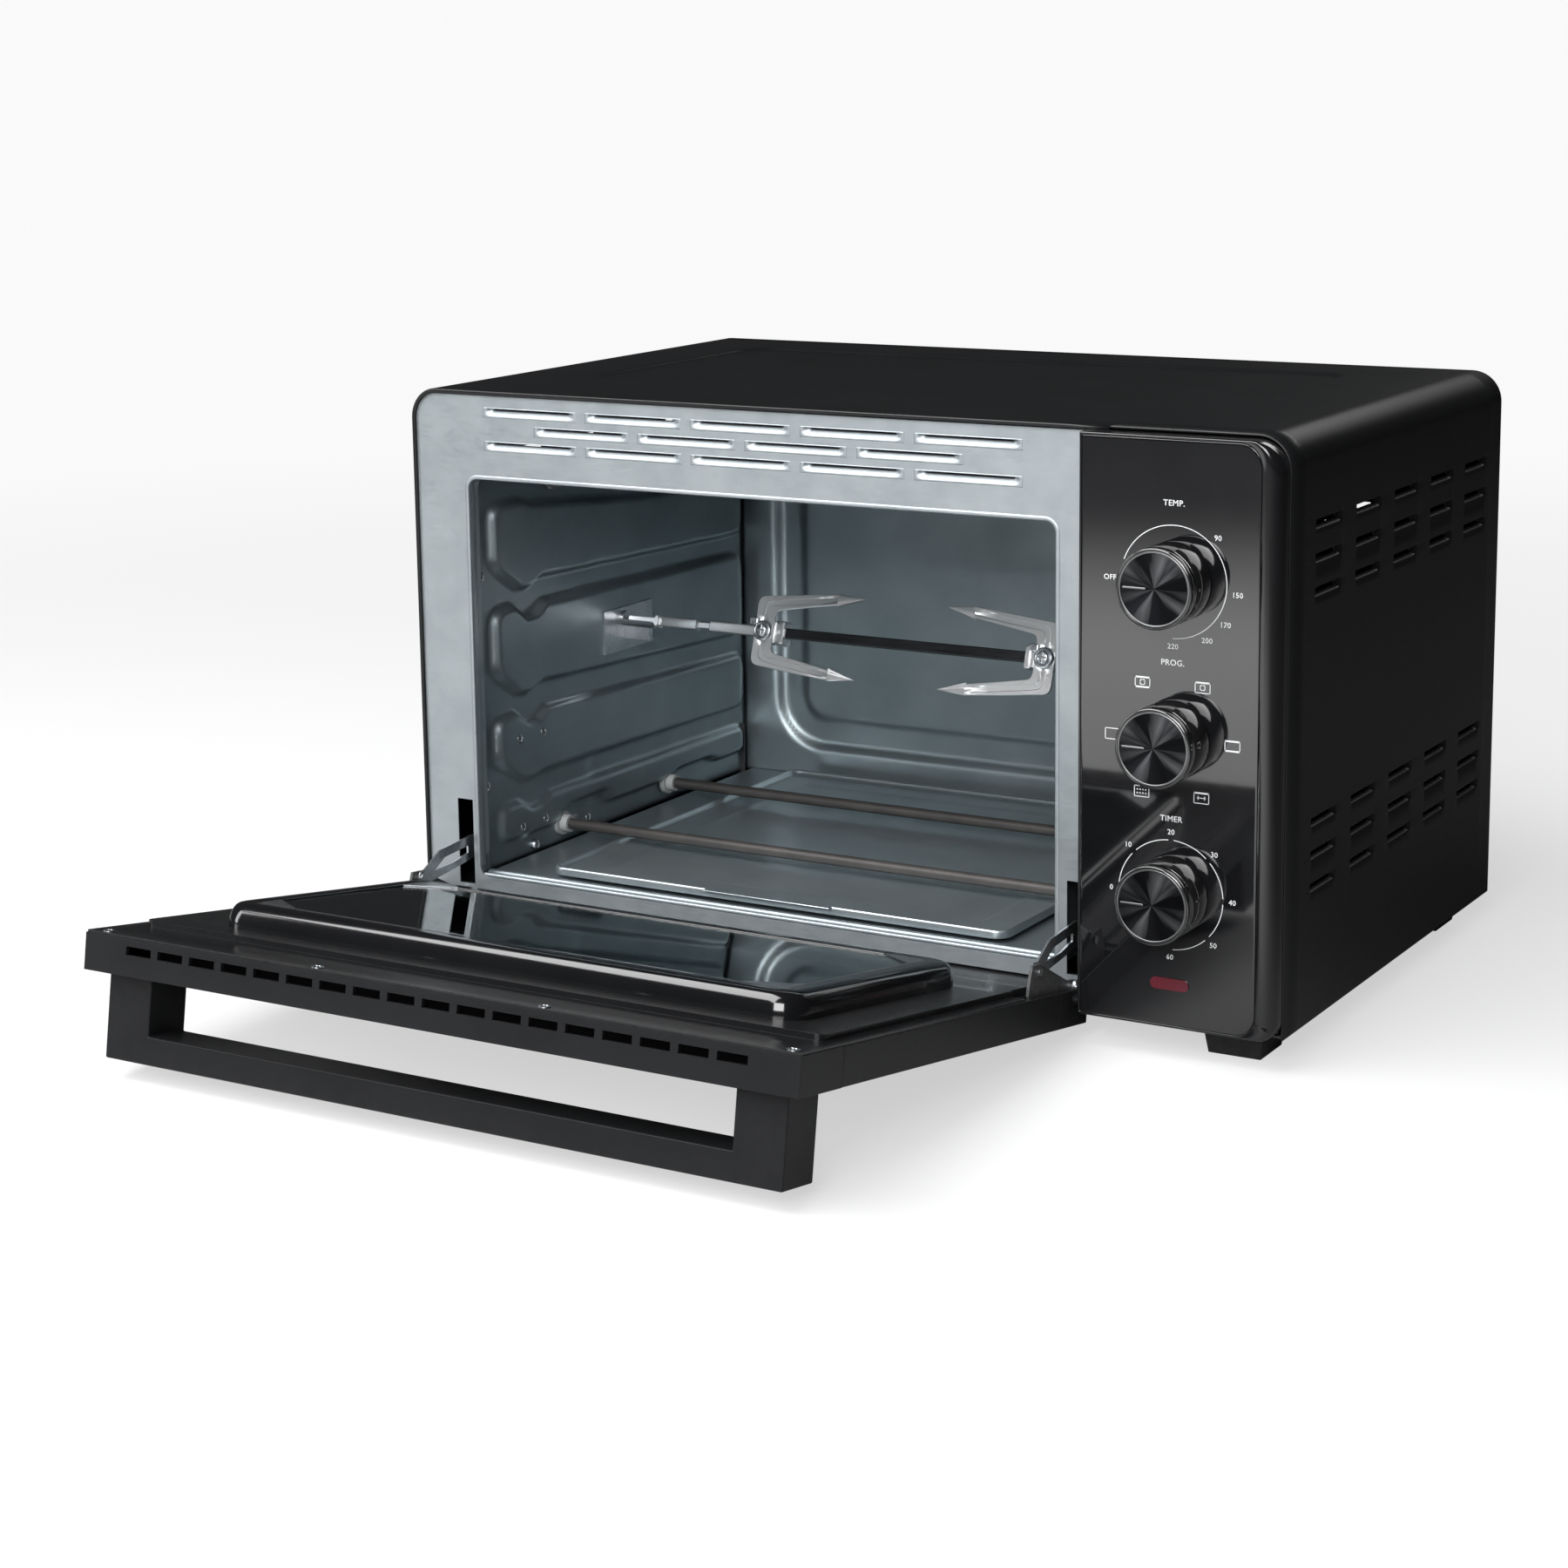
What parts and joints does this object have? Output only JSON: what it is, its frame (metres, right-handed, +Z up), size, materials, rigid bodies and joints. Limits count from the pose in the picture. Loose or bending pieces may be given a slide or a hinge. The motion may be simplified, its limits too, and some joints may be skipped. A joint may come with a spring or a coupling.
{
  "type": "rotisserie oven",
  "caption": "Countertop rotisserie oven with a black case, drop-down glass door, three dial knobs on a gloss panel, and a motor-driven spit with sliding forks.",
  "frame": {"origin": "middle of the whole oven's footprint with its door open, on the surface its feet stand on", "axes": "+X to the right seen from the front, +Y to the rear, +Z up"},
  "size_m": [0.522, 0.6004, 0.3165],
  "materials": {
    "black_case": "satin black powder coat",
    "dark_sheet": "dark grey coated sheet",
    "galvanised_front": "satin zinc-coated steel",
    "chamber_steel": "dull aluminised steel, pressed ribs",
    "tray_steel": "aluminised steel tray",
    "heater_sheath": "oxidised dark heating rod",
    "ceramic_bush": "unglazed steatite",
    "gloss_black": "high-gloss black moulding",
    "panel_pane": "high-gloss black pane with printed dials",
    "spun_disc": "dark spun metal disc",
    "red_lens": "translucent red lens",
    "neon": "neon lamp glass",
    "control_body": "zinc-plated control body",
    "switch_body": "pale thermoset plastic",
    "bright_steel": "bright nickel-plated steel",
    "spit_steel": "dark drawn steel bar",
    "zinc_parts": "zinc-plated stampings and fasteners",
    "hinge_black": "black coated hinge bracket",
    "foot_plastic": "black moulded foot",
    "door_rail": "satin dark grey moulding",
    "door_skin": "gloss black enamel",
    "door_glass": "clear tempered glass",
    "tinted_glass": "dark tinted tempered glass",
    "fan_metal": "pressed aluminium fan",
    "wire_sleeve": "glass-fibre sleeved wire",
    "grommet_rubber": "black rubber bush"
  },
  "bodies": {
    "root": {"outer_case": "black_case", "back_panel": "dark_sheet", "base_pan": "dark_sheet", "front_frame": "galvanised_front", "chamber_left_wall": "chamber_steel", "chamber_right_wall": "chamber_steel", "chamber_top": "chamber_steel", "chamber_back": "chamber_steel", "chamber_floor": "chamber_steel", "crumb_tray": "tray_steel", "heater_rods": "heater_sheath", "heater_bushes": "ceramic_bush", "control_fascia": "gloss_black", "panel_glass": "panel_pane", "indicator_lens": "red_lens", "indicator_lamp": "neon", "thermostat": "control_body", "function_switch": "switch_body", "timer_mechanism": "control_body", "spit_motor": "control_body", "fan_housing": "chamber_steel", "fan_motor": "control_body", "spit_cradle": "bright_steel", "feet": "foot_plastic", "case_screws": "zinc_parts", "chamber_rivets": "zinc_parts", "hinge_seats": "zinc_parts", "door_springs": "zinc_parts", "wiring_harness": "wire_sleeve", "terminal_block": "switch_body", "cord_grommet": "grommet_rubber"},
    "door": {"door_top_rail": "door_rail", "door_side_rails": "door_rail", "door_bottom_rail": "door_rail", "door_glass_outer": "tinted_glass", "door_inner_panel": "door_skin", "door_window_ring": "door_skin", "door_glass_inner": "door_glass", "glass_clips": "bright_steel", "door_handle": "door_rail", "door_screws": "zinc_parts", "hinge_brackets": "hinge_black", "hinge_pins": "zinc_parts"},
    "lever_left": {"hinge_lever_left": "zinc_parts"},
    "lever_right": {"hinge_lever_right": "zinc_parts"},
    "temp_control": {"temp_knob": "gloss_black", "temp_knob_cap": "spun_disc"},
    "program_control": {"program_knob": "gloss_black", "program_knob_cap": "spun_disc"},
    "timer_control": {"timer_knob": "gloss_black", "timer_knob_cap": "spun_disc"},
    "spit": {"spit_shaft": "spit_steel", "drive_socket": "spit_steel"},
    "fork_left_body": {"fork_left": "bright_steel", "thumbscrew_left": "bright_steel"},
    "fork_right_body": {"fork_right": "bright_steel", "thumbscrew_right": "bright_steel"},
    "fan": {"fan_blade": "fan_metal"}
  },
  "joints": [
    {"name": "door_hinge", "type": "hinge", "parent": "root", "child": "door", "pos_m": [0, -0.01778, 0.0295], "axis": [-1, 0, 0], "range_deg": [0, 80.7]},
    {"name": "lever_left_pivot", "type": "hinge", "parent": "door", "child": "lever_left", "pos_m": [-0.2332, -0.05739, 0.04754], "axis": [1, 0, 0], "range_deg": [0, 72]},
    {"name": "lever_right_pivot", "type": "hinge", "parent": "door", "child": "lever_right", "pos_m": [0.14875, -0.05739, 0.04754], "axis": [1, 0, 0], "range_deg": [0, 72]},
    {"name": "temp_turn", "type": "hinge", "parent": "root", "child": "temp_control", "pos_m": [0.2054, -0.03378, 0.2435], "axis": [0, 1, 0], "range_deg": [0, 270]},
    {"name": "program_turn", "type": "hinge", "parent": "root", "child": "program_control", "pos_m": [0.2054, -0.03378, 0.16505], "axis": [0, 1, 0], "range_deg": [0, 300]},
    {"name": "timer_turn", "type": "hinge", "parent": "root", "child": "timer_control", "pos_m": [0.2054, -0.03378, 0.0866], "axis": [0, 1, 0], "range_deg": [0, 270]},
    {"name": "spit_spin", "type": "hinge", "parent": "root", "child": "spit", "pos_m": [0, 0.14122, 0.1625], "axis": [1, 0, 0], "continuous": true},
    {"name": "fork_left_slide", "type": "slide", "parent": "spit", "child": "fork_left_body", "axis": [1, 0, 0], "range_m": [-0.05, 0.02]},
    {"name": "fork_right_slide", "type": "slide", "parent": "spit", "child": "fork_right_body", "axis": [-1, 0, 0], "range_m": [-0.05, 0.02]},
    {"name": "fan_spin", "type": "hinge", "parent": "root", "child": "fan", "pos_m": [0.1587, 0.22422, 0.2125], "axis": [1, 0, 0], "continuous": true}
  ],
  "couplings": [
    {"joint": "lever_left_pivot", "follows": "door_hinge", "ratio": 0.85},
    {"joint": "lever_right_pivot", "follows": "door_hinge", "ratio": 0.85}
  ]
}
